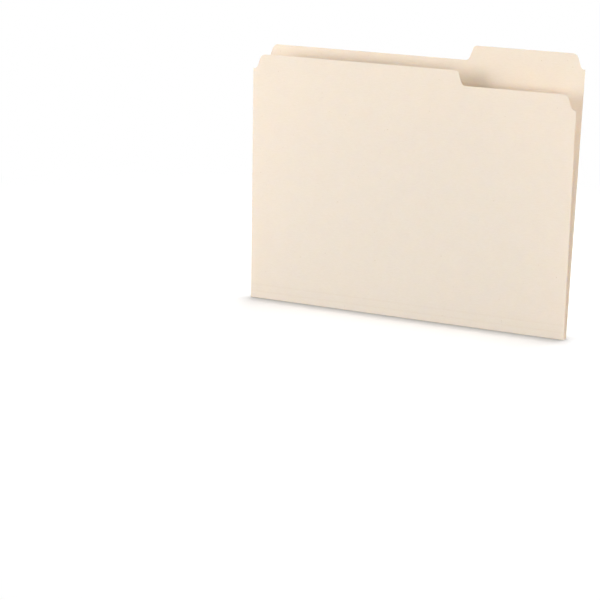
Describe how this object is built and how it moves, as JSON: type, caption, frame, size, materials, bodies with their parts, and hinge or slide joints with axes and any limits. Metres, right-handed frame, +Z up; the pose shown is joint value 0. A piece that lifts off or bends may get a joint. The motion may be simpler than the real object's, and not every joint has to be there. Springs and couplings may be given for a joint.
{
  "type": "manila file folder",
  "caption": "Letter-size manila file folder standing slightly open on its squared bottom, with a cut tab at the right of the back leaf, an undercut front leaf and an expanding scored bottom.",
  "frame": {"origin": "on the table, under the middle of the bottom strip", "axes": "+X along the fold to the right seen from the front, +Y from the front leaf to the back leaf, +Z up"},
  "size_m": [0.2984, 0.0227, 0.2413],
  "materials": {
    "manila_card": "matte",
    "creased_card": "matte"
  },
  "bodies": {
    "bottom": {"bottom_strip": "manila_card", "main_fold": "creased_card", "first_score": "creased_card"},
    "back": {"back_leaf": "manila_card"},
    "lower_strip": {"second_strip": "manila_card", "second_score": "creased_card"},
    "upper_strip": {"third_strip": "manila_card", "third_score": "creased_card"},
    "front": {"front_leaf": "manila_card"}
  },
  "joints": [
    {"name": "back_swing", "type": "hinge", "parent": "bottom", "child": "back", "pos_m": [0, 0.00317, 0.00014], "axis": [-1, 0, 0], "range_deg": [-2.4, 87]},
    {"name": "bottom_spread", "type": "hinge", "parent": "bottom", "child": "lower_strip", "pos_m": [0, -0.00317, 0.00014], "axis": [1, 0, 0], "range_deg": [0, 88]},
    {"name": "second_score_turn", "type": "hinge", "parent": "lower_strip", "child": "upper_strip", "pos_m": [0, -0.0034, 0.00649], "axis": [1, 0, 0], "range_deg": [-88, 0]},
    {"name": "front_swing", "type": "hinge", "parent": "upper_strip", "child": "front", "pos_m": [0, -0.00362, 0.01283], "axis": [1, 0, 0], "range_deg": [-2.55, 89]}
  ],
  "couplings": [
    {"joint": "second_score_turn", "follows": "bottom_spread", "ratio": -1}
  ]
}
